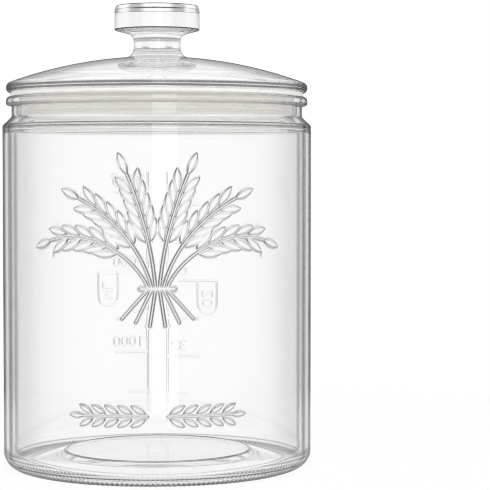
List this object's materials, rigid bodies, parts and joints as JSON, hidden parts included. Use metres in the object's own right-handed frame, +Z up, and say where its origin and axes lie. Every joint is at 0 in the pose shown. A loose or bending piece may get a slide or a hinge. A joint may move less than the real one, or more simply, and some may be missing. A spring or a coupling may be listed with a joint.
{
  "type": "sourdough starter jar",
  "caption": "Clear pressed-glass canister with a moulded volume scale, a lift-off domed glass lid with a disc knob, and a finned silicone seal ring; keeps starter, dough or dry food.",
  "frame": {"origin": "centre of the base, on the plane that the jar stands on", "axes": "+Z up along the jar's axis; the plain front faces -Y and the moulded volume scale faces +Y"},
  "size_m": [0.17, 0.1704, 0.2543],
  "materials": {
    "jar_glass": "clear pressed soda-lime glass, fire-polished, with low moulded relief",
    "lid_glass": "clear pressed soda-lime glass, thick, fire-polished",
    "seal_silicone": "cream-white translucent silicone, satin"
  },
  "bodies": {
    "jar": {"jar_body": "jar_glass"},
    "seal": {"lid_seal": "seal_silicone"},
    "lid": {"lid": "lid_glass"}
  },
  "joints": [
    {"name": "lid_lift", "type": "slide", "parent": "jar", "child": "seal", "axis": [0, 0, 1], "range_m": [0, 0.06]},
    {"name": "seal_strip", "type": "slide", "parent": "seal", "child": "lid", "axis": [0, 0, 1], "range_m": [0, 0.03]}
  ]
}
